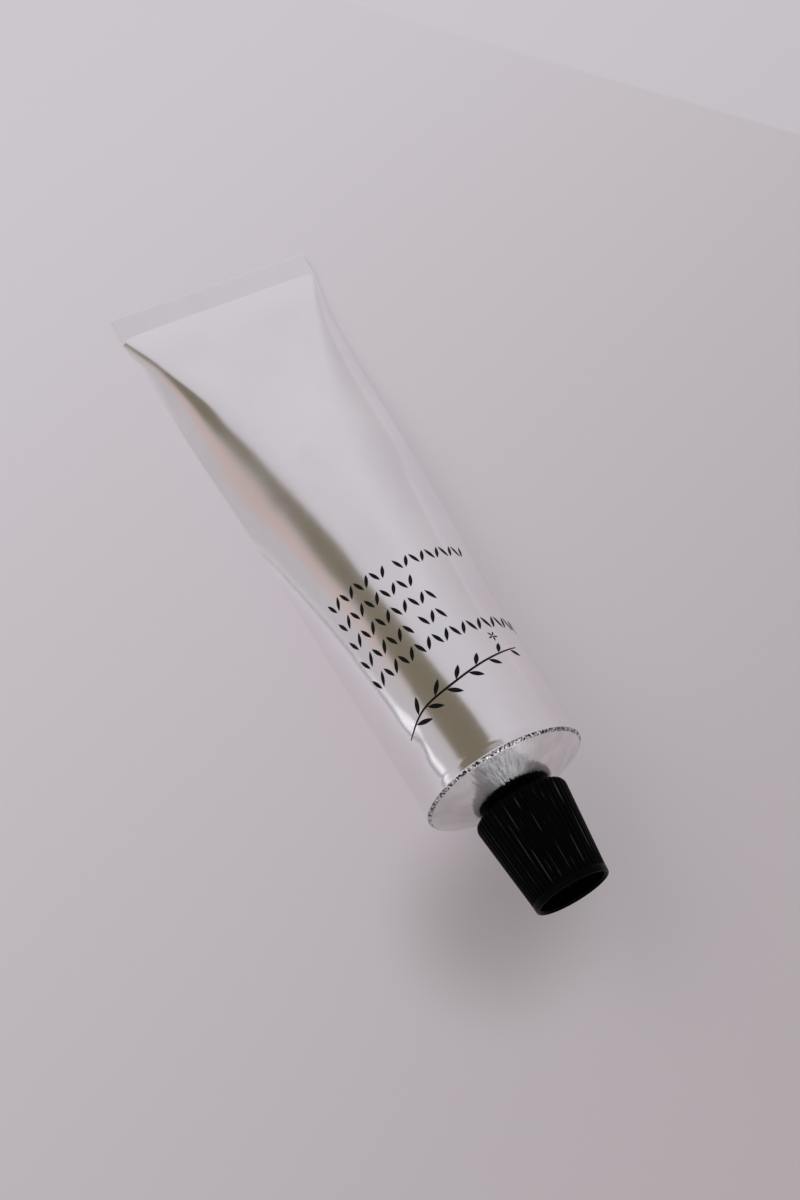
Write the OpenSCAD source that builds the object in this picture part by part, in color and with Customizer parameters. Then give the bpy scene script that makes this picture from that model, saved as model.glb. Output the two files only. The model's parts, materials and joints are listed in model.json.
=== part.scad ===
// Hand cream tube: a soft aluminium tube with a folded end and a fluted screw cap.
// It lies on its side as it comes to rest, on the folded end and the shoulder's rim.
// Millimetres, +Z up, +X from the folded end to the cap, origin under the middle.

/* [Tube] */
// Diameter of the tube at its shoulder
body_d = 25; // [19:0.5:35]
// Length from the shoulder's rim to the edge of the folded end
body_len = 120; // [80:1:180]
// Length behind the rim that stays truly round
round_len = 2; // [1:0.5:8]
// Step from the thick rim down to the thin wall
wall_step = 0.06; // [0.03:0.01:0.2]

/* [Folded end] */
// Width of the folded strip, measured along the tube
fold_w = 6; // [3:0.5:9]
// Thickness of the two walls pressed together
ply_t = 0.26; // [0.2:0.02:0.5]
// Air between the turns of the fold
fold_gap = 0.1; // [0.06:0.02:0.2]
// Extra width that pressing gives the folded strip, beyond the flattened body
fold_spread = 1.6; // [0.2:0.1:3]

/* [Shoulder and neck] */
// Rise of the shoulder's cone from the rim to the neck
shoulder_h = 3.6; // [2:0.1:5]
// Width of the turned bevel on the rim
bevel_w = 0.4; // [0.2:0.1:0.8]
// Diameter of the neck over the crests of its thread
neck_d = 9.3; // [7:0.1:9.7]
// Length of the neck above the shoulder
neck_len = 6.7; // [5:0.1:9]
// Diameter of the nozzle in the neck
nozzle_d = 6; // [3:0.25:6.25]
// Depth of the sealing membrane below the neck's mouth
nozzle_depth = 1; // [0.4:0.1:3]
// Chamfer on the neck's mouth
neck_chamfer = 0.3; // [0.1:0.05:0.35]

/* [Cap] */
// Length of the cap
cap_len = 14; // [12.5:0.1:22]
// Diameter of the cap at its mouth, over the ribs
cap_mouth_d = 14.5; // [13:0.1:19]
// Diameter of the cap at its outer end
cap_end_d = 11.2; // [10.8:0.1:13.5]
// Number of ribs round the cap
rib_count = 48; // [24:2:60]
// Depth of the flutes between the ribs
rib_depth = 0.28; // [0.15:0.01:0.45]
// Width of the smooth band at the outer end
band_w = 0.9; // [0.4:0.1:2]
// Height of the smooth band above the crests of the ribs
band_step = 0.05; // [0.03:0.01:0.15]
// Chamfer on the mouth of the cap's bore
mouth_chamfer = 0.3; // [0.2:0.05:0.5]
// Thickness of the web between the neck's bore and the piercing well
web_t = 1.5; // [1:0.1:2.5]
// Diameter of the piercing spike at its foot
spike_d = 2.8; // [2:0.1:3.5]
// Distance of the spike's tip below the cap's end
spike_inset = 0.8; // [0.4:0.1:2]
// Thickness of the sealing wad inside the cap
wad_t = 1; // [0.5:0.1:1.4]

/* [Fit] */
// Radial clearance of the cap and the wad, on the neck and in the bore
thread_gap = 0.15; // [0.1:0.05:0.25]
// Radial clearance of the piercing well round the neck
well_gap = 0.4; // [0.2:0.05:0.5]
// Distance of the cap's mouth from the shoulder's cone
mouth_gap = 1.6; // [0.3:0.1:2]
// Clearance on each face of the sealing wad
wad_gap = 0.04; // [0.02:0.01:0.1]

/* [Hidden] */
$fn = 96;
// Grid of the pressed body: points round it, and steps along it
body_sides = 72;
body_rings = 19;
// Nearness of the pressed body's edge to the folded strip's edge, where they join
edge_inset = 0.1;
// Points across one rib and its flute
rib_points = 6;
// Length by which joined shapes run into each other
lap = 1;
web_lap = 0.5;

body_r = body_d / 2;
neck_r = neck_d / 2;
cap_mouth_r = cap_mouth_d / 2;
cap_end_r = cap_end_d / 2;
flat_w = PI * body_r;
strip_w = flat_w + fold_spread;

// The fold has three plies, and its top one runs on into the body
fold_t = 3 * ply_t + 2 * fold_gap;
web_z = fold_t - ply_t / 2;
press_len = body_len - fold_w;

// The tube tips until the rim and the fold both touch the surface
tilt = acos(web_z / norm([body_r, press_len])) - atan2(press_len, body_r);
rim_z = body_r * cos(tilt);

// Places along the tube's axis, counted from the rim
neck_end = shoulder_h + neck_len;
cone_r = body_r - bevel_w;
cap_start = shoulder_h * (cone_r - cap_mouth_r) / (cone_r - neck_r) + mouth_gap;
cap_stop = cap_start + cap_len;
bore_end = neck_end + wad_t + 2 * wad_gap;
well_start = bore_end + web_t;
bore_r = neck_r + thread_gap;
well_r = neck_r + well_gap;

// The rim lies this far from the middle of the whole length
low_x = -press_len * cos(tilt) - fold_w;
high_x = cap_stop * cos(tilt) + cap_end_r * sin(tilt);
rim_x = -(low_x + high_x) / 2;

// Stands what is built along +Z, from the rim, on the lying tube's axis
module on_axis() {
    translate([rim_x, 0, rim_z])
        rotate([0, 90 - tilt, 0])
            children();
}

// 0 below low, 1 above high, and a smooth rise between
function ease(x, low, high) =
    let (t = min(1, max(0, (x - low) / (high - low)))) t * t * (3 - 2 * t);

// Height of a section whose top is flat as far as a soft corner and falls from there to
// the edge: 1 in the middle and 0 at the edge. Its place is 0 in the middle and 1 at the
// edge. The corner nears the edge as the way along the body goes from 0 to 1.
function bend(place, corner, soft) =
    pow(norm([place - corner, soft]) + place - corner, 1.4);
function flat_top(place, way) =
    let (
        left = 1.035 - max(way, 0.44),
        corner = 1 - 1.425 * left + 0.06 * ease(way, 0.737, 0.912),
        soft = 0.03 + 0.4 * left,
        low = bend(0, corner, soft)
    )
    1 - (bend(place, corner, soft) - low) / (bend(1, corner, soft) - low);

// One ring of the pressed body. A share of 0 is the round tube and 1 is the flat end.
// The girth stays the same: a point at an angle on the circle slides sideways to the
// place on the flat that lies as far along the wall. Towards the fold the top turns flat,
// its edges drop to the underside, and they spread to the width of the folded strip.
function press_ring(z, share) =
    let (
        way = (round_len + share * (press_len - round_len)) / press_len,
        wall_r = body_r - wall_step,
        half_t = (1 - share) * wall_r + share * ply_t / 4,
        flat = ease(way, 0.456, 0.912),
        drop = 0.95 * ease(way, 0.526, 0.965),
        spread = 1 + ((strip_w - 2 * edge_inset) / flat_w - 1) * ease(way, 0.895, 1)
    )
    [
        for (i = [0:body_sides - 1])
            let (
                turn = 360 * i / body_sides - 90,
                side = turn <= 90 ? turn : 180 - turn,
                crown = (1 - flat) * cos(side) + flat * flat_top(abs(side) / 90, way),
                height = turn <= 90 ? (1 + drop) * crown - drop : -drop - (1 - drop) * crown,
                y = (1 - share) * wall_r * sin(side) + share * flat_w / 2 * side / 90
            )
            [-half_t * height, y * spread, z]
    ];

function press_points() = concat(
    press_ring(-round_len + lap, 0),
    [
        for (k = [0:body_rings])
            let (share = k / body_rings)
            each press_ring(-round_len - share * (press_len - round_len), share)
    ]
);

// Two triangles for each cell between two rings, and a face over each end
function press_faces() =
    let (n = body_sides, last = body_rings + 1)
    concat(
        [[for (i = [0:n - 1]) i]],
        [
            for (k = [0:last - 1], i = [0:n - 1])
                let (j = (i + 1) % n)
                each [
                    [k * n + i, (k + 1) * n + i, (k + 1) * n + j],
                    [k * n + i, (k + 1) * n + j, k * n + j]
                ]
        ],
        [[for (i = [n - 1:-1:0]) last * n + i]]
    );

// The wall's two plies seen from the side, bent half a turn about a centre
module half_bend(outer_r, side) {
    intersection() {
        difference() {
            circle(outer_r);
            circle(outer_r - ply_t);
        }
        translate([side > 0 ? 0 : -2 * outer_r, -2 * outer_r])
            square([2 * outer_r, 4 * outer_r]);
    }
}

// Side view of the end rolled under twice: x along the tube from the strip's edge,
// y up from the surface
module fold_profile() {
    outer_r = fold_t / 2;
    inner_r = ply_t + fold_gap / 2;
    inner_x = fold_w - inner_r;
    tuck_x = ply_t + fold_gap;
    translate([outer_r, fold_t - ply_t])
        square([fold_w - outer_r + web_lap, ply_t]);
    translate([outer_r, outer_r])
        half_bend(outer_r, -1);
    translate([outer_r, 0])
        square([inner_x - outer_r, ply_t]);
    translate([inner_x, inner_r])
        half_bend(inner_r, 1);
    translate([tuck_x, ply_t + fold_gap])
        square([inner_x - tuck_x, ply_t]);
}

module folded_end() {
    translate([rim_x + low_x, strip_w / 2, 0])
        rotate([90, 0, 0])
            linear_extrude(height = strip_w)
                fold_profile();
}

// Round band behind the rim, turned bevel, cone, neck and the closed nozzle
module shoulder_and_neck() {
    rotate_extrude()
        polygon([
            [0, -round_len],
            [body_r, -round_len],
            [body_r, -bevel_w],
            [cone_r, 0],
            [neck_r, shoulder_h],
            [neck_r, neck_end - neck_chamfer],
            [neck_r - neck_chamfer, neck_end],
            [nozzle_d / 2, neck_end],
            [nozzle_d / 2, neck_end - nozzle_depth],
            [0, neck_end - nozzle_depth]
        ]);
}

module tube() {
    color("silver") {
        on_axis() {
            shoulder_and_neck();
            polyhedron(points = press_points(), faces = press_faces(), convexity = 4);
        }
        folded_end();
    }
}

// Outline of the ribbed cap: a round wave whose crests are the ribs
module ribbed_outline(crest_r) {
    count = rib_count * rib_points;
    polygon([
        for (i = [0:count - 1])
            let (
                turn = 360 * i / count,
                r = crest_r - rib_depth * (1 - cos(rib_count * turn)) / 2
            )
            [r * cos(turn), r * sin(turn)]
    ]);
}

// Outside of the cap, with its mouth at z = 0
module cap_outside() {
    band_z = cap_len - band_w;
    taper = (cap_mouth_r + band_step - cap_end_r) / cap_len;
    band_r = cap_end_r + taper * band_w;
    rib_len = band_z + band_w / 2;
    linear_extrude(height = rib_len, scale = 1 - taper * rib_len / cap_mouth_r)
        ribbed_outline(cap_mouth_r);
    rotate_extrude()
        polygon([[0, band_z], [band_r, band_z], [cap_end_r, cap_len], [0, cap_len]]);
}

// The neck's bore, open towards the shoulder
module cap_bore() {
    mouth_r = bore_r + mouth_chamfer;
    rotate_extrude()
        polygon([[0, -lap], [mouth_r, -lap], [mouth_r, 0], [bore_r, mouth_chamfer],
            [bore_r, bore_end - cap_start], [0, bore_end - cap_start]]);
}

// The well that takes the neck when its membrane is pierced, around the spike
module piercing_well() {
    floor_z = well_start - cap_start;
    tip_z = cap_len - spike_inset;
    rotate_extrude()
        polygon([[spike_d / 2, floor_z], [well_r, floor_z], [well_r, cap_len + lap],
            [0, cap_len + lap], [0, tip_z]]);
}

module cap() {
    color([0.06, 0.06, 0.065])
        on_axis()
            translate([0, 0, cap_start])
                difference() {
                    cap_outside();
                    cap_bore();
                    piercing_well();
                }
}

module sealing_wad() {
    color("white")
        on_axis()
            translate([0, 0, neck_end + wad_gap])
                cylinder(h = wad_t, r = bore_r - thread_gap);
}

tube();
cap();
sealing_wad();
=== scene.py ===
"""Hand cream tube: the dressed model, in metres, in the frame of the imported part.

Lengths are written in millimetres and turned into metres where a mesh is made.
Places on the tube are (along, side, up): along its axis from the shoulder's rim
towards the cap, across it, and square to both.
"""
import json
import math
import bpy
import bmesh
import numpy as np
from mathutils import Matrix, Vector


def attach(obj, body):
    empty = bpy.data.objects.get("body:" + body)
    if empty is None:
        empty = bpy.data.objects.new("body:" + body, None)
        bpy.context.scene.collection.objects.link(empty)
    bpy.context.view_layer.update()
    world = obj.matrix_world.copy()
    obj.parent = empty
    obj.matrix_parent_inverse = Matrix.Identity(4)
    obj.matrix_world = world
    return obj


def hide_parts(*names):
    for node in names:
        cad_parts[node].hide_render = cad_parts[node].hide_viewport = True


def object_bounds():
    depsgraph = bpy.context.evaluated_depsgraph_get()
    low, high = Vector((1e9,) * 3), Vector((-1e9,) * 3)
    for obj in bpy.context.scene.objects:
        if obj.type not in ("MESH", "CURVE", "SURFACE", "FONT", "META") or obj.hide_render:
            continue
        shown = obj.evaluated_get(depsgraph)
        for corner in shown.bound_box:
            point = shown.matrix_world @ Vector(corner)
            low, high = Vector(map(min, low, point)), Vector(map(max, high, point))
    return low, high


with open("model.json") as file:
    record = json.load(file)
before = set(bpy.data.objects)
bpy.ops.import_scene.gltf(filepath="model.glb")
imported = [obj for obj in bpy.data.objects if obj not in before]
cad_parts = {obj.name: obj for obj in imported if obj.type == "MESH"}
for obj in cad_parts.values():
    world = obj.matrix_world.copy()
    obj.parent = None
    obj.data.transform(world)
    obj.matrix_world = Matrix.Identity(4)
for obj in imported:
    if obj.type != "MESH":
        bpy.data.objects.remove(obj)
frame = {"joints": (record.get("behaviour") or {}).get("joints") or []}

cad_low, cad_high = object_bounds()
MM = 0.001

# Sizes of the tube, in millimetres
BODY_R = 12.5
BODY_LEN = 120.0
ROUND_LEN = 2.0
WALL_STEP = 0.06
FOLD_W = 6.0
PLY_T = 0.26
FOLD_GAP = 0.1
FOLD_T = 3 * PLY_T + 2 * FOLD_GAP
FOLD_SPREAD = 1.6
FLAT_HALF = math.pi * BODY_R / 2
STRIP_HALF = FLAT_HALF + FOLD_SPREAD / 2
PRESS_LEN = BODY_LEN - FOLD_W
SHOULDER_H = 3.6
BEVEL_W = 0.4
NECK_R = 4.65
NECK_LEN = 6.7
NECK_END = SHOULDER_H + NECK_LEN
NOZZLE_R = 3.0
NOZZLE_DEPTH = 1.0
CONE_R = BODY_R - BEVEL_W
WEB_LAP = 0.4
LIP_R = 0.25

# Sizes of the cap and of its thread
CAP_LEN = 14.0
CAP_MOUTH_R = 7.25
CAP_END_R = 5.6
MOUTH_GAP = 1.6
CAP_START = SHOULDER_H * (CONE_R - CAP_MOUTH_R) / (CONE_R - NECK_R) + MOUTH_GAP
RIBS = 48
RIB_DEPTH = 0.28
BAND_W = 0.9
BAND_STEP = 0.05
THREAD_GAP = 0.15
BORE_R = NECK_R + THREAD_GAP
MOUTH_CHAMFER = 0.3
WAD_T = 1.0
WAD_GAP = 0.04
BORE_DEPTH = NECK_END + WAD_T + 2 * WAD_GAP - CAP_START
WELL_GAP = 0.4
WELL_R = NECK_R + WELL_GAP
WEB_T = 1.5
WELL_FLOOR = BORE_DEPTH + WEB_T
SPIKE_R = 1.4
SPIKE_INSET = 0.8
SPIKE_TIP = CAP_LEN - SPIKE_INSET
PITCH = 2.2
THREAD_DEPTH = 0.45

# Camera: azimuth, elevation and roll in degrees, place and lens in millimetres
CAMERA_TURNS = (152.45, 61.94, 0.97)
CAMERA_AT = (85.53, -35.97, 156.83)
CAMERA_LENS = 31.49

# The tube's axis, from the joint that the cap turns on
turn = next(j for j in frame["joints"] if j["name"] == "cap_turn")
RIM = np.array(turn["pos_m"]) / MM
ALONG = np.array(turn["axis"]) / np.linalg.norm(turn["axis"])
SIDE = np.array([0.0, 1.0, 0.0])
UP = np.cross(ALONG, SIDE)


def place(along, side, up):
    """Part-frame points, in millimetres, of places given along, beside and above the axis."""
    along, side, up = np.broadcast_arrays(along, side, up)
    return RIM + along[..., None] * ALONG + side[..., None] * SIDE + up[..., None] * UP


def smooth(x, low, high):
    """0 below low, 1 above high, and the S-curve 3t^2 - 2t^3 between."""
    t = np.clip((x - low) / (high - low), 0, 1)
    return t * t * (3 - 2 * t)


# Camera, from the outlines of the tube in the photograph
def make_camera():
    cam = bpy.data.objects.new("camera", bpy.data.cameras.new("camera"))
    bpy.context.collection.objects.link(cam)
    azimuth, elevation, roll = np.radians(CAMERA_TURNS)
    ahead = np.array([
        np.cos(elevation) * np.cos(azimuth),
        np.cos(elevation) * np.sin(azimuth),
        -np.sin(elevation),
    ])
    level = np.array([np.sin(azimuth), -np.cos(azimuth), 0.0])
    above = np.cross(level, ahead)
    right = np.cos(roll) * level + np.sin(roll) * above
    top = np.cos(roll) * above - np.sin(roll) * level
    matrix = np.eye(4)
    matrix[:3, :3] = np.stack([right, top, -ahead], axis=1)
    matrix[:3, 3] = np.array(CAMERA_AT) * MM
    cam.matrix_world = Matrix(matrix.tolist())
    cam.data.sensor_width = 36
    cam.data.lens = CAMERA_LENS
    cam.data.clip_start = 0.01
    cam.data.clip_end = 20
    bpy.context.scene.camera = cam


make_camera()


# Meshes from grids of points
class Shape:
    """Collects grids of points into one mesh, with a UV and a finish for each grid."""

    def __init__(self):
        self.points, self.faces, self.uvs, self.slots, self.count = [], [], [], [], 0

    def grid(self, points, uv=None, slot=0, wrap=False, flip=False):
        """A grid of points (rows, columns, 3). With wrap, the last column joins the first one."""
        rows, columns = points.shape[:2]
        cells = columns if wrap else columns - 1
        r, c = np.meshgrid(np.arange(rows - 1), np.arange(cells), indexing="ij")
        n = (c + 1) % columns
        quads = np.stack([
            r * columns + c, (r + 1) * columns + c, (r + 1) * columns + n, r * columns + n,
        ], axis=-1).reshape(-1, 4)
        if uv is None:
            uv = np.zeros((rows, cells + 1, 2))
        corner = np.stack([uv[r, c], uv[r + 1, c], uv[r + 1, c + 1], uv[r, c + 1]], axis=-2)
        corner = corner.reshape(-1, 4, 2)
        if flip:
            quads, corner = quads[:, ::-1], corner[:, ::-1]
        self.faces.append(quads + self.count)
        self.uvs.append(corner.reshape(-1, 2))
        self.slots.append(np.full(len(quads), slot))
        self.points.append(points.reshape(-1, 3))
        self.count += rows * columns

    def make(self, name, finishes, sharp=35):
        """The object: doubles merged, faces turned outwards, smooth but for edges over sharp degrees."""
        mesh = bpy.data.meshes.new(name)
        points, faces = np.concatenate(self.points) * MM, np.concatenate(self.faces)
        mesh.vertices.add(len(points))
        mesh.vertices.foreach_set("co", points.ravel())
        mesh.loops.add(faces.size)
        mesh.loops.foreach_set("vertex_index", faces.ravel())
        mesh.polygons.add(len(faces))
        mesh.polygons.foreach_set("loop_start", np.arange(0, faces.size, 4))
        mesh.polygons.foreach_set("material_index", np.concatenate(self.slots))
        layer = mesh.uv_layers.new(name="UVMap")
        layer.data.foreach_set("uv", np.concatenate(self.uvs).ravel())
        mesh.update(calc_edges=True)
        tidy = bmesh.new()
        tidy.from_mesh(mesh)
        bmesh.ops.remove_doubles(tidy, verts=tidy.verts, dist=0.002 * MM)
        bmesh.ops.recalc_face_normals(tidy, faces=tidy.faces)
        tidy.to_mesh(mesh)
        tidy.free()
        mesh.validate()
        mesh.shade_smooth()
        mesh.set_sharp_from_angle(angle=math.radians(sharp))
        for finish in finishes:
            mesh.materials.append(finish)
        piece = bpy.data.objects.new(name, mesh)
        bpy.context.collection.objects.link(piece)
        return piece


# Shader maths
class Wire:
    """A socket of a node tree. Arithmetic on it adds Math nodes."""

    def __init__(self, tree, socket):
        self.tree, self.socket = tree, socket

    def math(self, operation, *others):
        node = self.tree.nodes.new("ShaderNodeMath")
        node.operation = operation
        for place_in, value in zip(node.inputs, others):
            if isinstance(value, Wire):
                self.tree.links.new(value.socket, place_in)
            else:
                place_in.default_value = value
        return Wire(self.tree, node.outputs[0])

    def __add__(self, other):
        return self.math("ADD", self, other)

    def __radd__(self, other):
        return self.math("ADD", other, self)

    def __sub__(self, other):
        return self.math("SUBTRACT", self, other)

    def __rsub__(self, other):
        return self.math("SUBTRACT", other, self)

    def __mul__(self, other):
        return self.math("MULTIPLY", self, other)

    def __rmul__(self, other):
        return self.math("MULTIPLY", other, self)

    def __truediv__(self, other):
        return self.math("DIVIDE", self, other)

    def __pow__(self, other):
        return self.math("POWER", self, other)

    def root(self):
        return self.math("SQRT", self)

    def step(self, low, high):
        """0 at low and 1 at high, with a smooth curve between."""
        node = self.tree.nodes.new("ShaderNodeMapRange")
        node.interpolation_type = "SMOOTHSTEP"
        self.tree.links.new(self.socket, node.inputs["Value"])
        node.inputs["From Min"].default_value = low
        node.inputs["From Max"].default_value = high
        return Wire(self.tree, node.outputs["Result"])


class Finish:
    """A material, or the world, under construction."""

    def __init__(self, owner):
        self.owner = owner
        owner.use_nodes = True
        self.tree = owner.node_tree
        self.tree.nodes.clear()

    def node(self, kind, settings=(), values=(), out=0):
        """Any node: its settings first, then the values or links of its sockets."""
        node = self.tree.nodes.new(kind)
        for name, value in dict(settings).items():
            setattr(node, name, value)
        for name, value in dict(values).items():
            if isinstance(value, Wire):
                self.tree.links.new(value.socket, node.inputs[name])
            else:
                node.inputs[name].default_value = value
        return node if out is None else Wire(self.tree, node.outputs[out])

    def split(self, vector):
        node = self.node("ShaderNodeSeparateXYZ", values={"Vector": vector}, out=None)
        return [Wire(self.tree, socket) for socket in node.outputs]

    def join(self, x, y, z=0.0):
        return self.node("ShaderNodeCombineXYZ", values={"X": x, "Y": y, "Z": z})

    def noise(self, vector, scale, detail=2.0, rough=0.5):
        return self.node(
            "ShaderNodeTexNoise",
            values={"Vector": vector, "Scale": scale, "Detail": detail, "Roughness": rough},
        )

    def mix(self, share, low, high):
        """A colour between low and high."""
        node = self.node("ShaderNodeMix", {"data_type": "RGBA"}, out=None)
        for socket, value in ((node.inputs[0], share), (node.inputs[6], low), (node.inputs[7], high)):
            if isinstance(value, Wire):
                self.tree.links.new(value.socket, socket)
            else:
                socket.default_value = value
        return Wire(self.tree, node.outputs[2])

    def bump(self, height, depth_mm, strength=1.0):
        """A normal from a height of 0 to 1 that stands for depth_mm."""
        return self.node(
            "ShaderNodeBump",
            values={"Height": height, "Distance": depth_mm * MM, "Strength": strength},
        )

    def principled(self, **values):
        shader = self.node(
            "ShaderNodeBsdfPrincipled",
            values={name.replace("_", " "): value for name, value in values.items()},
            out=None,
        )
        output = self.node("ShaderNodeOutputMaterial", out=None)
        self.tree.links.new(shader.outputs[0], output.inputs[0])
        return self.owner


def new_finish(name):
    return Finish(bpy.data.materials.new(name))


def wall_finish():
    """Bare aluminium: fine grain drawn along the tube, faint clouds and a few scuffs."""
    f = new_finish("drawn_aluminium")
    s, x, _ = f.split(f.node("ShaderNodeUVMap", {"uv_map": "UVMap"}))
    grain = f.noise(f.join(s * 9.0, x * 0.09), 1.0, 4.0, 0.6)
    hair = f.noise(f.join(s * 3.2, x * 0.035, 7.0), 1.0, 2.0, 0.5)
    cloud = f.noise(f.join(s * 0.09, x * 0.06, 3.0), 1.0, 3.0, 0.55)
    scuff = f.noise(f.join(s * 1.4, x * 1.1, 5.0), 1.0, 5.0, 0.7).step(0.60, 0.74)
    pressed = x.step(86.0, PRESS_LEN)
    rough = 0.06 + cloud * 0.06 + grain * 0.04 + scuff * 0.05 + pressed * 0.13
    tint = f.mix(cloud.step(0.3, 0.7), (0.91, 0.89, 0.905, 1), (0.95, 0.93, 0.94, 1))
    # Painted highlight: the wall is painted paler over the last 12 mm before the fold and on the rolled
    # strip, which lifts the strip's shading.
    tint = f.mix(x.step(PRESS_LEN - 12.0, PRESS_LEN), tint, (0.98, 0.96, 0.975, 1))
    sand = f.noise(f.join(s * 7.5, x * 5.5, 9.0), 1.0, 3.0, 0.7)
    height = grain * 0.22 + hair * 0.13 + sand.step(0.52, 0.74) * 0.20
    return f.principled(
        Base_Color=tint, Metallic=1.0, Roughness=rough, Normal=f.bump(height, 0.014),
    )


def shoulder_finish():
    """Turned aluminium: rings of the lathe's tool, each with a long face towards the rim and a
    short one towards the neck, cut unevenly deep from one side of the cone to the next."""
    f = new_finish("turned_aluminium")
    r, turned, _ = f.split(f.node("ShaderNodeUVMap", {"uv_map": "UVMap"}))
    turns = r / 0.13
    cut = turns.math("FRACT", turns)
    rise = cut / 0.7
    ring = rise.math("MINIMUM", rise, (1 - cut) / 0.3)
    strand = f.noise(f.join(r * 0.35, turned * 2.2), 1.0, 3.0, 0.65).step(0.34, 0.66)
    rings = f.noise(f.join(r * 14.0, turned * 0.02), 1.0, 3.0, 0.6)
    cloud = f.noise(f.join(r * 0.5, turned * 0.3, 2.0), 1.0, 2.0, 0.5)
    rough = 0.09 + rings * 0.04 + cloud * 0.04
    tint = f.mix(cloud.step(0.3, 0.7), (0.80, 0.785, 0.785, 1), (0.90, 0.885, 0.885, 1))
    height = ring * (0.50 + strand * 0.50) + rings * 0.15
    return f.principled(
        Base_Color=tint, Metallic=1.0, Roughness=rough, Normal=f.bump(height, 0.0105),
    )


def rim_finish():
    """The bevel that the trimming tool left torn, its sparkle painted as glints: bright and dark specks
    in its colour.
    """
    f = new_finish("torn_bevel_painted_glints")
    r, turned, _ = f.split(f.node("ShaderNodeUVMap", {"uv_map": "UVMap"}))
    tears_and_glints = f.noise(f.join(r * 1.9, turned * 2.6), 1.0, 3.0, 0.75)
    pale = f.noise(f.join(r * 1.1, turned * 1.4, 4.0), 1.0, 2.0, 0.6).step(0.35, 0.65)
    # Painted glints: the tears' darkest specks are painted near black and the others pale, for the
    # sparkle of reflections; the tears' bump is real.
    dark = tears_and_glints.step(0.49, 0.52)
    tint = f.mix(pale, (0.50, 0.49, 0.48, 1), (0.99, 0.98, 0.99, 1))
    tint = f.mix(dark, tint, (0.02, 0.018, 0.016, 1))
    return f.principled(
        Base_Color=tint, Metallic=1.0, Roughness=0.25 + dark * 0.3, Normal=f.bump(tears_and_glints, 0.05),
    )


def cap_finish():
    """Black moulded plastic with a faint moulding texture, and painted highlight streaks: the ribs'
    crests painted paler in short runs. The UV counts ribs round the cap and millimetres along it."""
    f = new_finish("black_plastic")
    rib, z, _ = f.split(f.node("ShaderNodeUVMap", {"uv_map": "UVMap"}))
    phase = 2 * math.pi * (rib + 0.13)
    crest = phase.math("COSINE", phase).step(0.86, 0.985)
    nearest = rib + 0.5
    run = f.noise(f.join(nearest.math("FLOOR", nearest) * 3.7, z * 0.16), 1.0, 2.0, 0.5)
    # Painted highlight: short runs of the rib crests are painted paler, as streaks of reflected light.
    painted_crest_highlight = crest * run.step(0.50, 0.68) * z.step(0.4, 1.6) * (1 - z.step(12.2, 13.2))
    spot = f.node("ShaderNodeTexCoord", out=3)
    fine = f.noise(spot, 5200.0, 3.0, 0.6)
    broad = f.noise(spot, 420.0, 2.0, 0.5)
    tint = f.mix(broad.step(0.35, 0.7), (0.0010, 0.0012, 0.0012, 1), (0.0018, 0.0021, 0.0020, 1))
    tint = f.mix(painted_crest_highlight, tint, (0.10, 0.105, 0.105, 1))
    return f.principled(
        Base_Color=tint, Roughness=0.20 + broad * 0.08 + fine * 0.05,
        Specular_IOR_Level=0.03, Normal=f.bump(fine, 0.004),
    )


def wad_finish():
    """White closed-cell foam: shallow cells a third of a millimetre across."""
    f = new_finish("white_foam")
    spot = f.node("ShaderNodeTexCoord", out=3)
    cells = f.node(
        "ShaderNodeTexVoronoi", {"feature": "F1"}, {"Vector": spot, "Scale": 3000.0},
    )
    tint = f.mix(cells.step(0.1, 0.7), (0.86, 0.86, 0.83, 1), (0.74, 0.74, 0.70, 1))
    return f.principled(
        Base_Color=tint, Roughness=0.62 + cells * 0.1, Normal=f.bump(1 - cells, 0.03),
    )


def ink_finish():
    """Black ink with a slightly uneven film."""
    f = new_finish("black_ink")
    spot = f.node("ShaderNodeTexCoord", out=3)
    film = f.noise(spot, 2400.0, 3.0, 0.6)
    tint = f.mix(film.step(0.3, 0.75), (0.004, 0.004, 0.005, 1), (0.009, 0.009, 0.010, 1))
    return f.principled(
        Base_Color=tint, Roughness=0.42 + film * 0.12, Specular_IOR_Level=0.12,
        Normal=f.bump(film, 0.003),
    )


# The pressed wall of the tube
def dents(s, x):
    """Shallow hollows of the soft wall, in millimetres: slow waves and a few thumb marks."""
    waves = (
        0.050 * np.sin(x / 9.3 + s / 14.0 + 0.6)
        + 0.035 * np.sin(x / 5.1 - s / 6.5 + 2.1)
        + 0.018 * np.sin(x / 2.7 + s / 4.1 + 4.0) * np.sin(s / 7.7 + 1.0)
    )
    marks = 0.0
    for mark_s, mark_x, wide, long, deep in (
        (-15.0, 9.0, 3.0, 3.5, -0.22),
        (-12.5, 4.5, 2.0, 2.0, 0.10),
        (-10.0, 6.0, 1.2, 2.2, 0.07),
        (-10.8, 10.5, 1.1, 2.6, -0.06),
        (-11.0, 84.0, 3.5, 7.0, -0.18),
        (5.0, 96.0, 6.0, 5.0, -0.14),
        (-4.0, 103.0, 5.0, 4.0, 0.09),
        (14.0, 60.0, 5.0, 12.0, -0.06),
        (27.0, 40.0, 6.0, 10.0, -0.06),
        (-30.0, 72.0, 7.0, 9.0, -0.14),
    ):
        marks = marks + deep * np.exp(-((s - mark_s) / wide) ** 2 - ((x - mark_x) / long) ** 2)
    calm = smooth(x, 1.6, 9.0) * (1 - smooth(x, 98.0, PRESS_LEN))
    return np.minimum((waves + marks) * calm, 0.8 * WALL_STEP)


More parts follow.
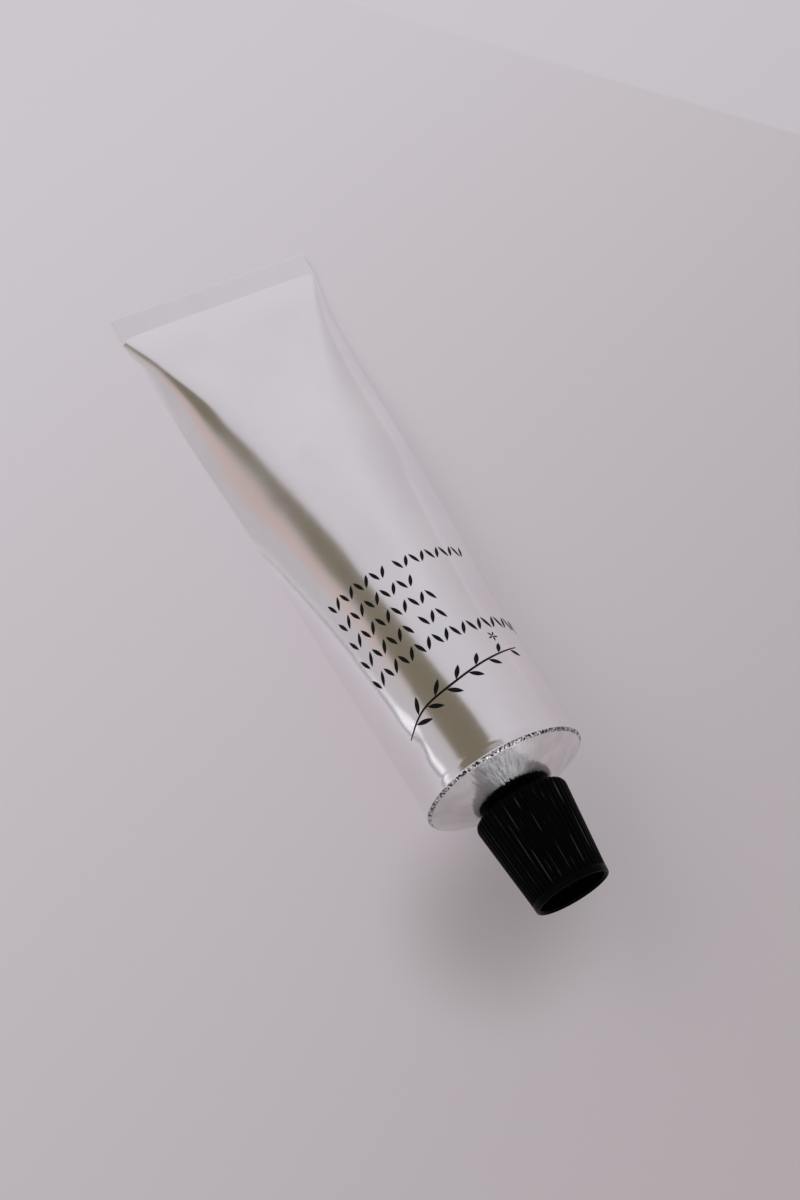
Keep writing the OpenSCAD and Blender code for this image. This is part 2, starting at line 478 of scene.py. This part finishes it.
def flat_top(share, x):
    """Height of a section that is flat as far as a soft corner and falls ever faster from there
    to the edge: 1 in the middle and 0 at the edge. The corner nears the edge towards the fold."""
    left = 118.0 - np.clip(x, 50.0, PRESS_LEN)
    corner = 1 - 0.0125 * left + 0.06 * smooth(x, 84.0, 104.0)
    soft = 0.03 + 0.0035 * left

    def bend(at):
        return (np.sqrt((at - corner) ** 2 + soft ** 2) + at - corner) ** 1.4

    return 1 - (bend(share) - bend(0.0)) / (bend(1.0) - bend(0.0))


def wall(s, x):
    """A point of the wall at s along the girth from the top's middle, x behind the rim.

    At the rim the section is a circle, and at the fold it lies flat, so a point slides from
    R sin(s/R) across to s itself, or to its mirror place on the underside. The girth is the
    circle's at the rim, comes out shorter midway, and longer at the fold. The height falls
    from R cos(s/R) to half of the pressed plies. Near the fold the top grows flatter in its
    middle, and its edges drop to the underside.
    """
    s, x = np.broadcast_arrays(np.asarray(s, float), np.asarray(x, float))
    angle = s / BODY_R
    turned = np.where(np.abs(angle) <= np.pi / 2, angle, np.sign(angle) * np.pi - angle)
    share = np.clip((x - ROUND_LEN) / (PRESS_LEN - ROUND_LEN), 0, 1)
    radius = BODY_R - WALL_STEP * smooth(x, 1.5, 2.1)
    half_t = (1 - share) * radius + share * PLY_T / 2
    flare = 1 + (STRIP_HALF / FLAT_HALF - 1) * smooth(x, 102.0, PRESS_LEN)
    side = ((1 - share) * radius * np.sin(turned) + share * FLAT_HALF * turned / (np.pi / 2)) * flare
    flat = smooth(x, 52.0, 104.0)
    drop = 0.95 * smooth(x, 60.0, 110.0)
    crown = (1 - flat) * np.cos(turned) + flat * flat_top(np.abs(turned) / (np.pi / 2), x)
    above = (1 + drop) * crown - drop
    below = -drop - (1 - drop) * crown
    up = half_t * np.where(np.abs(angle) <= np.pi / 2, above, below)
    out = dents(s, x)
    side = side + out * np.sin(angle)
    up = up + out * np.cos(angle)
    return side, up


def wall_points(s, x, lift=0.0):
    """Part-frame points of the wall, lifted off it along its normal."""
    nudge = 0.05
    at = place(-x, *wall(s, x))
    if not np.any(lift):
        return at
    across = place(-x, *wall(s + nudge, x)) - place(-x, *wall(s - nudge, x))
    down = place(-x - nudge, *wall(s, x + nudge)) - place(-x + nudge, *wall(s, x - nudge))
    normal = np.cross(across, down)
    normal /= np.linalg.norm(normal, axis=-1, keepdims=True)
    return at + normal * np.asarray(lift)[..., None]


def revolve(shape, profile, columns, slot):
    """A profile of (along, radius) turned round the axis. Its UV is the way along the profile,
    and the arc at the rim's radius."""
    angle = np.linspace(-np.pi, np.pi, columns, endpoint=False)
    along, radius = np.asarray(profile, float).T
    way = np.concatenate([[0], np.cumsum(np.hypot(np.diff(along), np.diff(radius)))])
    points = place(
        along[:, None], radius[:, None] * np.sin(angle), radius[:, None] * np.cos(angle),
    )
    arc = np.linspace(-np.pi, np.pi, columns + 1) * BODY_R
    shape.grid(points, np.stack(np.broadcast_arrays(way[:, None], arc), axis=-1), slot, wrap=True)


def thread_wave(along, angle, start, stop):
    """Height from 0 to 1 of a right-hand thread: a rounded ridge once in each pitch, which
    runs out over half a turn at both ends."""
    phase = along / PITCH - angle / (2 * np.pi)
    ridge = smooth(np.cos(2 * np.pi * phase), 0.15, 0.80)
    inside = smooth(along, start, start + PITCH / 2) * (1 - smooth(along, stop - PITCH / 2, stop))
    return ridge * inside


def make_tube(columns=240):
    shape = Shape()
    # The wall, from the fold to the rim: closer rows near both ends
    row = np.linspace(0, 1, 190)
    x = PRESS_LEN + (ROUND_LEN * 0.5 - PRESS_LEN) * (row - 0.09 * np.sin(2 * np.pi * row))
    s = np.linspace(-np.pi, np.pi, columns, endpoint=False) * BODY_R
    points = wall_points(s[None, :], x[:, None])
    turned = np.where(np.abs(s) <= BODY_R * np.pi / 2, s, np.sign(s) * np.pi * BODY_R - s)
    web = place(-PRESS_LEN - WEB_LAP, turned, 0.0)
    arc = np.linspace(-np.pi, np.pi, columns + 1) * BODY_R
    rows = np.concatenate([[PRESS_LEN + WEB_LAP], x])
    uv = np.stack(np.broadcast_arrays(arc[None, :], rows[:, None]), axis=-1)
    shape.grid(np.concatenate([web[None], points]), uv, 0, wrap=True)
    # The round band behind the rim
    band = np.linspace(x[-1], BEVEL_W + 0.05, 4)
    uv = np.stack(np.broadcast_arrays(arc[None, :], band[:, None]), axis=-1)
    shape.grid(wall_points(s[None, :], band[:, None]), uv, 0, wrap=True)
    # The torn bevel, a little uneven
    angle = np.linspace(-np.pi, np.pi, columns, endpoint=False)
    across = np.linspace(0, 1, 7)[:, None]
    noise = np.sin(angle * 61 + 2 * np.sin(angle * 17)) * np.sin(angle * 37 + 1.3)
    swell = 0.05 * np.sin(np.pi * across) * (0.6 + 0.8 * noise)
    along = -(BEVEL_W + 0.05) * (1 - across) + swell * 0.7
    radius = BODY_R - (BODY_R - CONE_R) * across + swell * 0.4
    along, radius = np.broadcast_arrays(along, np.minimum(radius, BODY_R))
    points = place(along, radius * np.sin(angle), radius * np.cos(angle))
    way = across * 0.6
    shape.grid(points, np.stack(np.broadcast_arrays(way, arc[None, :]), axis=-1), 2, wrap=True)
    # The turned cone, with the fine steps of the tool
    t = np.linspace(0, 1, 75)
    step = 0.0015 * np.sin(2 * np.pi * t * 34) * np.minimum(1, np.minimum(t, 1 - t) * 12)
    cone = np.stack([SHOULDER_H * t + step, CONE_R + (NECK_R - THREAD_DEPTH - CONE_R) * t], axis=1)
    revolve(shape, cone, columns, 1)
    # The neck and its thread
    along = np.linspace(SHOULDER_H, NECK_END - LIP_R, 78)[:, None]
    ridge = thread_wave(along, angle, SHOULDER_H + 0.8, NECK_END - 0.2)
    radius = NECK_R - THREAD_DEPTH * (1 - ridge)
    points = place(along, radius * np.sin(angle), radius * np.cos(angle))
    uv = np.stack(np.broadcast_arrays(along, arc[None, :]), axis=-1)
    shape.grid(points, uv, 1, wrap=True)
    # The neck's rounded mouth, the nozzle, and the membrane that closes it
    root = NECK_R - THREAD_DEPTH
    lip = np.linspace(0, np.pi / 2, 6)
    seal = NECK_END - NOZZLE_DEPTH
    mouth = [
        (NECK_END - LIP_R + LIP_R * math.sin(a), root - LIP_R + LIP_R * math.cos(a)) for a in lip
    ]
    mouth += [(NECK_END, NOZZLE_R + 0.1), (NECK_END - 0.1, NOZZLE_R)]
    mouth += [(seal + 0.1, NOZZLE_R), (seal, NOZZLE_R - 0.1)]
    mouth += [(seal + 0.02 * math.cos(r * 2.2), r) for r in np.linspace(2.6, 0, 9)]
    revolve(shape, mouth, columns, 1)
    fold_strip(shape)
    return shape.make("tube_shell", [wall_finish(), shoulder_finish(), rim_finish()], sharp=40)


def fold_path():
    """Middle line of the rolled plies, as seen from the side: x from the strip's outer edge,
    z above the surface. The web runs out on top, turns under round the edge, comes back
    along the surface, turns up, and ends tucked in the middle."""
    middle = PLY_T / 2
    edge_r = FOLD_T / 2 - middle
    inner_r = PLY_T / 2 + FOLD_GAP / 2
    inner_x = FOLD_W - inner_r - middle
    half = np.linspace(0, np.pi, 13)
    web = [(x, FOLD_T - middle) for x in np.linspace(FOLD_W + 1.0, FOLD_T / 2, 14)]
    edge = [(FOLD_T / 2 - edge_r * math.sin(a), FOLD_T / 2 + edge_r * math.cos(a)) for a in half]
    back = [(x, middle) for x in np.linspace(FOLD_T / 2, inner_x, 8)]
    inner = [
        (inner_x + inner_r * math.sin(a), middle + inner_r - inner_r * math.cos(a)) for a in half
    ]
    tuck = [(x, middle + 2 * inner_r) for x in np.linspace(inner_x, PLY_T + FOLD_GAP, 5)]
    return np.array(web + edge[1:] + back[1:] + inner[1:] + tuck[1:])


def fold_strip(shape):
    """The rolled end: the path thickened to both sides, carried across the tube, with faint
    waves from the crimping jaws."""
    path = fold_path()
    ahead = np.gradient(path, axis=0)
    ahead /= np.linalg.norm(ahead, axis=1, keepdims=True)
    normal = np.stack([-ahead[:, 1], ahead[:, 0]], axis=1)
    ring = np.concatenate([path + normal * PLY_T / 2, (path - normal * PLY_T / 2)[::-1]])
    y = np.linspace(-STRIP_HALF, STRIP_HALF, 64)
    edge = cad_low[0] / MM
    wave = 0.035 * np.sin(y / 3.1 + 0.7) + 0.025 * np.sin(y / 1.37 + 2.0)
    high = smooth(ring[:, 1], FOLD_T - 0.3, FOLD_T)
    x = edge + ring[:, 0][None, :] + 0 * y[:, None]
    z = ring[:, 1][None, :] + np.minimum(wave, 0)[:, None] * high
    points = np.stack([x, y[:, None] + 0 * x, z], axis=-1)
    way = np.linspace(0, 30, len(ring) + 1)
    uv = np.stack(np.broadcast_arrays(y[:, None], PRESS_LEN + way[None, :]), axis=-1)
    shape.grid(points, uv, 0, wrap=True)
    n = len(path)
    for end in (points[0], points[-1]):
        shape.grid(np.stack([end[:n], end[::-1][:n]]), None, 0)


# The cap
def rib_radius(z, angle):
    """Radius of the cap's outside at z from its mouth.

    The crests lie on a cone, and each flute is a rounded trough. The flutes fade out into
    the smooth band at the small end, and the ribs are rounded over at the mouth.
    """
    taper = (CAP_MOUTH_R + BAND_STEP - CAP_END_R) / CAP_LEN
    crest = CAP_MOUTH_R - taper * z
    wave = 0.5 - 0.5 * np.cos(RIBS * angle)
    flute = smooth(wave, 0.10, 0.80)
    fade = 1 - smooth(z, CAP_LEN - BAND_W - 0.35, CAP_LEN - BAND_W)
    band = smooth(z, CAP_LEN - BAND_W - 0.1, CAP_LEN - BAND_W + 0.1) * BAND_STEP
    rounded = 0.22 * (1 - smooth(z, 0.0, 0.55)) * (1 - flute)
    return crest - RIB_DEPTH * flute * fade + band - rounded


def make_cap(columns=480):
    shape = Shape()
    angle = np.linspace(-np.pi, np.pi, columns, endpoint=False)

    def turn_rows(z, radius, outside=False):
        z = np.asarray(z, float)[:, None]
        radius = np.broadcast_to(radius, (len(z), columns))
        rib = np.linspace(-RIBS / 2, RIBS / 2, columns + 1)
        shape.grid(
            place(CAP_START + z, radius * np.sin(angle), radius * np.cos(angle)),
            np.stack(np.broadcast_arrays(rib, z), axis=-1) if outside else None, 0, wrap=True,
        )

    # The ribbed outside, and the lip rolled over into the well
    near = np.linspace(0.0, 0.6, 7)
    far = np.linspace(CAP_LEN - BAND_W - 0.4, CAP_LEN - BAND_W + 0.15, 8)
    z = np.concatenate([near, np.linspace(0.6, far[0], 14)[1:-1], far, [CAP_LEN - 0.2]])
    turn_rows(z, rib_radius(z[:, None], angle[None, :]), outside=True)
    lip = np.linspace(0, np.pi, 9)
    lip_r = 0.18
    outer = CAP_END_R - lip_r
    lip_z = CAP_LEN - lip_r + lip_r * np.sin(lip)
    lip_radius = outer + lip_r * np.cos(lip)
    first = rib_radius(np.array([[CAP_LEN - 0.2]]), angle[None, :])
    lip_rows = np.concatenate([first, np.broadcast_to(lip_radius[:, None], (9, columns))])
    turn_rows(np.concatenate([[CAP_LEN - 0.2], lip_z]), lip_rows)
    # The well, its floor, and the piercing spike with a blunted tip
    well = [(lip_z[-1], lip_radius[-1]), (CAP_LEN - 0.35, WELL_R), (WELL_FLOOR + 0.3, WELL_R - 0.03)]
    well += [(WELL_FLOOR, WELL_R - 0.33), (WELL_FLOOR, SPIKE_R + 0.3)]
    well += [(WELL_FLOOR + 0.25, SPIKE_R - 0.05)]
    spike = np.linspace(0, 1, 12)[1:]
    spike_z = WELL_FLOOR + 0.25 + (SPIKE_TIP - WELL_FLOOR - 0.25) * spike
    spike_r = (SPIKE_R - 0.05) * (1 - spike) ** 0.92
    well += list(zip(spike_z, spike_r))
    well = np.array(well)
    turn_rows(well[:, 0], well[:, 1][:, None])
    # The toothed mouth, and the threaded bore
    toothed = rib_radius(np.array([[0.0]]), angle[None, :])
    chamfer = np.full((1, columns), BORE_R + MOUTH_CHAMFER)
    mouth = np.concatenate([toothed, chamfer, np.full((1, columns), BORE_R)])
    turn_rows([0.0, 0.0, MOUTH_CHAMFER], mouth)
    z = np.linspace(MOUTH_CHAMFER, BORE_DEPTH, 84)[:, None]
    along = CAP_START + z
    ridge = thread_wave(
        along + PITCH / 2, angle,
        CAP_START + MOUTH_CHAMFER + PITCH / 2, CAP_START + BORE_DEPTH - 0.6,
    )
    turn_rows(z[:, 0], BORE_R - THREAD_DEPTH * ridge)
    turn_rows([BORE_DEPTH, BORE_DEPTH, BORE_DEPTH], np.array([[BORE_R], [BORE_R / 2], [0.0]]))
    return shape.make("cap_shell", [cap_finish()], sharp=40)


def make_wad(columns=96):
    """A disc with soft edges and the ring that the neck's mouth pressed into it."""
    shape = Shape()
    radius = BORE_R - THREAD_GAP
    near, far = NECK_END + WAD_GAP, NECK_END + WAD_GAP + WAD_T
    ring = 0.5 * (NOZZLE_R + NECK_R - THREAD_DEPTH)
    pressed = [
        (near + 0.05 * math.exp(-((r - ring) / 0.5) ** 2), r) for r in np.linspace(0, radius - 0.1, 28)
    ]
    edge = [(near + 0.03, radius - 0.03), (near + 0.12, radius), (far - 0.12, radius)]
    edge += [(far - 0.03, radius - 0.03), (far, radius - 0.12), (far, radius / 2), (far, 0.0)]
    revolve(shape, pressed + edge, columns, 0)
    return shape.make("sealing_wad_disc", [wad_finish()], sharp=60)


# The print: rows of leaf marks and a sprig, in thin ink on the wall
INK_T = 0.02
ROW_TILT = math.tan(math.radians(4.5))
ROW_LEFT = -13.2


def on_rows(across, below):
    """Wall places of print places: across from the block's left edge, below its first row."""
    s = ROW_LEFT + across
    return s, 35.3 - below + ROW_TILT * across * 0.55


def ink_patch(shape, across, below):
    """A closed film of ink over a grid of print places (rows, columns)."""
    s, x = on_rows(across, below)
    top = wall_points(s, x, np.full(s.shape, INK_T))
    under = wall_points(s, x, np.full(s.shape, -INK_T))
    shape.grid(top, None, 0)
    shape.grid(under, None, 0, flip=True)
    for edge in (np.s_[:, 0], np.s_[:, -1], np.s_[0], np.s_[-1]):
        shape.grid(np.stack([top[edge], under[edge]]), None, 0)


def leaf(shape, centre, length, width, lean):
    """A pointed oval: its half width is width/2 times (1 - t^2) at t from -1 to 1 along it."""
    t = np.linspace(-1, 1, 13)[:, None]
    half = np.array([[-1.0, 0.0, 1.0]])
    wide = width / 2 * np.maximum(1 - t ** 2, 0.015) * half
    long = length / 2 * t + 0 * half
    across = centre[0] + wide * math.cos(lean) + long * math.sin(lean)
    below = centre[1] - wide * math.sin(lean) + long * math.cos(lean)
    ink_patch(shape, across, below)


def stroke(shape, points, width):
    """A line of ink through points, smoothed, that thins to its ends."""
    points = np.asarray(points, float)
    way = np.linspace(0, 1, len(points))
    fine = np.linspace(0, 1, 60)
    curve = np.stack([np.interp(fine, way, points[:, k]) for k in (0, 1)], axis=1)
    for _ in range(30):
        curve[1:-1] = 0.5 * curve[1:-1] + 0.25 * (curve[:-2] + curve[2:])
    ahead = np.gradient(curve, axis=0)
    ahead /= np.linalg.norm(ahead, axis=1, keepdims=True)
    across = np.stack([-ahead[:, 1], ahead[:, 0]], axis=1)
    half = width / 2 * (0.35 + 0.65 * np.sin(np.pi * fine) ** 0.5)[:, None]
    sides = np.stack([curve - across * half, curve + across * half], axis=1)
    ink_patch(shape, sides[..., 0], sides[..., 1])
    return curve


def make_rows():
    """Five ragged rows of slanted leaf marks, like a woven border."""
    shape = Shape()
    for row, sizes in enumerate(((8, 10), (10,), (11,), (7, 3), (21,))):
        across = 1.1
        for size in sizes:
            for k in range(size):
                lean = 0.40 if k % 2 == 0 else -0.40
                leaf(shape, (across, row * 3.88), 2.5, 0.62, lean)
                across += 1.47
            across += 1.2
    return shape.make("print_rows", [ink_finish()], sharp=30)


def make_sprig():
    """A leafy stem under the rows, with small leaves to both sides, and a little blossom."""
    shape = Shape()
    stem = stroke(shape, [(1.0, 26.0), (5.5, 23.8), (11.0, 23.4), (17.0, 22.2), (24.6, 20.8)], 0.36)
    last = len(stem) - 1
    for k, share in enumerate(np.linspace(0.12, 0.94, 11)):
        spot = int(share * last)
        at = stem[spot]
        ahead = stem[min(spot + 1, last)] - stem[spot - 1]
        lean = math.atan2(ahead[0], ahead[1]) + (0.8 if k % 2 else -0.8)
        reach = 1.75 - 0.55 * share
        centre = at + reach * np.array([math.sin(lean), math.cos(lean)])
        leaf(shape, centre, 3.0 - 1.1 * share, 0.72, lean)
    for k in range(5):
        lean = 2 * math.pi * k / 5
        centre = np.array([21.1, 18.3]) + 0.52 * np.array([math.sin(lean), math.cos(lean)])
        leaf(shape, centre, 0.9, 0.3, lean)
    return shape.make("print_sprig", [ink_finish()], sharp=30)


def dress():
    for make, body, node, slot in (
        (make_tube, "tube", "tube", "tube_aluminium"),
        (make_cap, "cap", "cap", "cap_plastic"),
        (make_wad, "sealing_wad", "sealing_wad", "wad_foam"),
        (make_rows, "tube", None, "black_ink"),
        (make_sprig, "tube", None, "black_ink"),
    ):
        piece = make()
        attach(piece, body)
        if node:
            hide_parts(node)


dress()


# Floor, light and surroundings
def make_floor():
    mesh = bpy.data.meshes.new("floor")
    reach = 0.5
    mesh.from_pydata(
        [(-reach, -reach, 0), (reach, -reach, 0), (reach, reach, 0), (-reach, reach, 0)],
        [], [(0, 1, 2, 3)],
    )
    floor = bpy.data.objects.new("floor", mesh)
    bpy.context.collection.objects.link(floor)
    f = new_finish("pale_floor")
    x, y, _ = f.split(f.node("ShaderNodeTexCoord", out=3))
    # Painted light: the floor is painted paler towards the window's side and darker on the side nearer
    # the camera.
    away = (0.0 - x * 0.93 - y * 0.37).step(-0.19, 0.14)
    tint = f.mix(away, (0.452, 0.400, 0.416, 1), (0.648, 0.611, 0.656, 1))
    # Painted shadow: the floor is painted darker in a soft round patch under the cap.
    near = ((x - 0.0645) ** 2 + (y + 0.0085) ** 2).root()
    tint = f.mix(near.step(0.002, 0.019), (0.385, 0.345, 0.355, 1), tint)
    camera = f.node("ShaderNodeLightPath", out=0)
    sheet = (y * 0.782 - x * 0.624).step(0.1385, 0.1400) * camera
    tint = f.mix(sheet * 0.5, tint, (0.66, 0.63, 0.675, 1))
    table_end = (0.0 - x * 0.454 - y * 0.891).step(0.22, 0.30)
    tint = f.mix(table_end, tint, (0.20, 0.19, 0.205, 1))
    # Painted light: the floor glows with its own tint, which softens the shade that the tube and cap
    # cast on it.
    mesh.materials.append(f.principled(
        Base_Color=tint, Roughness=0.6, Specular_IOR_Level=0.2,
        Emission_Color=tint, Emission_Strength=0.46,
    ))


def area_light(name, azimuth, elevation, distance, size, power, colour, glossy):
    """A soft lamp that faces the tube from a compass direction, in degrees from +X."""
    lamp = bpy.data.lights.new(name, "AREA")
    lamp.shape, lamp.size, lamp.size_y = "RECTANGLE", size[0], size[1]
    lamp.energy, lamp.color = power, colour
    holder = bpy.data.objects.new(name, lamp)
    bpy.context.collection.objects.link(holder)
    a, e = math.radians(azimuth), math.radians(elevation)
    out = np.array([math.cos(e) * math.cos(a), math.cos(e) * math.sin(a), math.sin(e)])
    side = np.array([-math.sin(a), math.cos(a), 0.0])
    matrix = np.eye(4)
    matrix[:3, :3] = np.stack([side, np.cross(out, side), out], axis=1)
    matrix[:3, 3] = out * distance
    holder.matrix_world = Matrix(matrix.tolist())
    holder.visible_glossy = glossy


def make_world():
    """Even pale light all round. Reflections show a room: a dim olive patch high up on one side,
    dull tan below it, a narrow bright window, the dark edge of the table, and a bright pane
    ahead of the cap."""
    f = Finish(bpy.data.worlds.new("surroundings"))
    bpy.context.scene.world = f.owner
    x, y, z = f.split(f.node("ShaderNodeTexCoord", out=0))
    level = (x * x + y * y + 1e-6).root()

    def facing(azimuth, none, full):
        """1 for directions within full degrees of an azimuth, and 0 beyond none degrees."""
        a = math.radians(azimuth)
        turned = (x * math.cos(a) + y * math.sin(a)) / level
        return turned.step(math.cos(math.radians(none)), math.cos(math.radians(full)))

    beyond = x * 0.51 - y * 0.765 + z * 0.392
    patch = beyond.step(-0.008, 0.026) * facing(205, 47, 40) * z.step(0.43, 0.50)
    patch = patch * (1 - z.step(0.84, 0.95))
    dull = facing(221, 34, 20) * z.step(0.01, 0.10) * (1 - z.step(0.46, 0.56))
    tan = facing(218, 13, 5) * z.step(0.28, 0.35) * (1 - z.step(0.42, 0.47))
    window = facing(245, 6.0, 3.8) * z.step(0.01, 0.04) * (1 - z.step(0.11, 0.17))
    edge = facing(243, 22, 14) * z.step(-0.09, -0.06) * (1 - z.step(-0.02, 0.01))
    pane = facing(6, 26, 6) * z.step(0.0, 0.08) * (1 - z.step(0.30, 0.5))
    seen = f.mix(z.step(0.42, 0.68), (0.645, 0.62, 0.658, 1), (0.58, 0.555, 0.592, 1))
    seen = f.mix(facing(100, 52, 16), seen, (0.53, 0.50, 0.528, 1))
    seen = f.mix(z.step(-0.35, 0.3), (0.475, 0.44, 0.463, 1), seen)
    seen = f.mix(dull, seen, (0.50, 0.472, 0.49, 1))
    seen = f.mix(tan, seen, (0.54, 0.432, 0.405, 1))
    seen = f.mix(patch, seen, (0.182, 0.158, 0.114, 1))
    seen = f.mix(edge, seen, (0.28, 0.27, 0.29, 1))
    seen = f.mix(window, seen, (1.0, 1.0, 1.03, 1))
    seen = f.mix(pane, seen, (1.5, 1.5, 1.55, 1))
    glossy = f.node("ShaderNodeLightPath", out=3)
    camera = f.node("ShaderNodeLightPath", out=0)
    light = f.mix(glossy, (0.34, 0.34, 0.34, 1), seen)
    shown = f.mix(camera, light, (0.60, 0.565, 0.605, 1))
    back = f.node("ShaderNodeBackground", values={"Color": shown, "Strength": 1.0}, out=None)
    output = f.node("ShaderNodeOutputWorld", out=None)
    f.tree.links.new(back.outputs[0], output.inputs[0])


make_floor()
make_world()
area_light("window", 222, 40, 1.3, (1.1, 0.8), 3.2, (1.0, 0.985, 0.97), False)

bpy.context.scene.view_settings.view_transform = "Standard"
